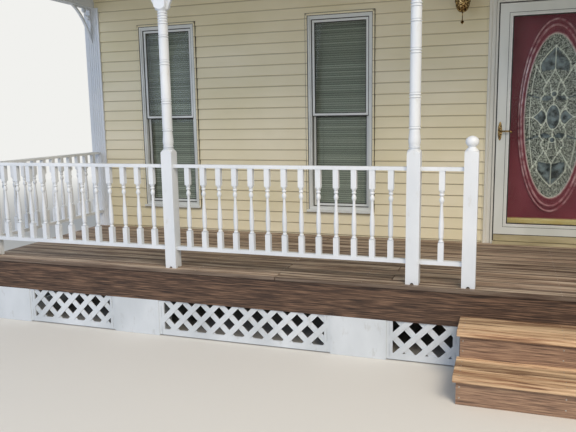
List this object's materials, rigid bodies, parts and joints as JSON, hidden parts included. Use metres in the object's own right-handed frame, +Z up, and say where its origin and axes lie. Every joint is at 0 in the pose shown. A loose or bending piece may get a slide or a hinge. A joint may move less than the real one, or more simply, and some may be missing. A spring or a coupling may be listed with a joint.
{
  "type": "front porch",
  "caption": "Front porch of a house: railed deck with turned posts, steps, lattice skirt, lean-to roof and the sided house front with a storm door, an oval-glass entry door and tall windows.",
  "frame": {"origin": "on the ground, below the middle of the doorway and the middle of the house wall's thickness", "axes": "+Z up, -Y towards the street, +X to the right for someone facing the house"},
  "size_m": [9.499, 2.442, 3.6509],
  "materials": {
    "masonry": "rough block",
    "cream_siding": "satin lap siding",
    "white_paint": "satin white paint",
    "sill_paint": "satin",
    "storm_enamel": "baked enamel",
    "clear_glass": "clear",
    "polished_brass": "polished",
    "burgundy_enamel": "satin enamel",
    "blind_slats": "matt",
    "deck_stain": "worn stain",
    "dark_stain": "dark stain",
    "shingles": "mineral granules"
  },
  "bodies": {
    "porch": {"foundation_wall": "masonry", "house_wall_left": "cream_siding", "house_wall_right": "cream_siding", "house_wall_over_door": "cream_siding", "corner_trim": "white_paint", "door_jambs": "white_paint", "door_head": "white_paint", "door_sill": "sill_paint", "window_frames": "white_paint", "window_sashes": "white_paint", "window_glass": "clear_glass", "window_blinds": "blind_slats", "wall_lanterns": "polished_brass", "porch_floor": "deck_stain", "rim_boards": "dark_stain", "floor_joists": "dark_stain", "deck_piers": "white_paint", "front_lattice": "white_paint", "side_lattice": "white_paint", "stair_stringers": "dark_stain", "stair_risers": "deck_stain", "stair_treads": "deck_stain", "corner_posts": "white_paint", "middle_posts": "white_paint", "step_posts": "white_paint", "newel_posts": "white_paint", "railing_end_left": "white_paint", "railing_end_right": "white_paint", "railing_main_left": "white_paint", "railing_main_right": "white_paint", "step_railings": "white_paint", "side_railings": "white_paint", "post_brackets": "white_paint", "front_beam": "white_paint", "side_beams": "white_paint", "porch_ceiling": "white_paint", "roof_deck": "shingles", "roof_ends": "cream_siding", "eave_boards": "white_paint"},
    "storm_leaf": {"storm_door": "storm_enamel", "storm_glass": "clear_glass", "storm_handle": "polished_brass"},
    "entry_leaf": {"entry_door": "burgundy_enamel", "oval_glass": "clear_glass", "entry_knob": "polished_brass"}
  },
  "joints": [
    {"name": "storm_door_hinge", "type": "hinge", "parent": "porch", "child": "storm_leaf", "pos_m": [0.452, -0.112, 1.6], "axis": [0, 0, 1], "range_deg": [0, 90]},
    {"name": "entry_door_hinge", "type": "hinge", "parent": "porch", "child": "entry_leaf", "pos_m": [0.452, 0.078, 1.6], "axis": [0, 0, -1], "range_deg": [0, 90]}
  ]
}
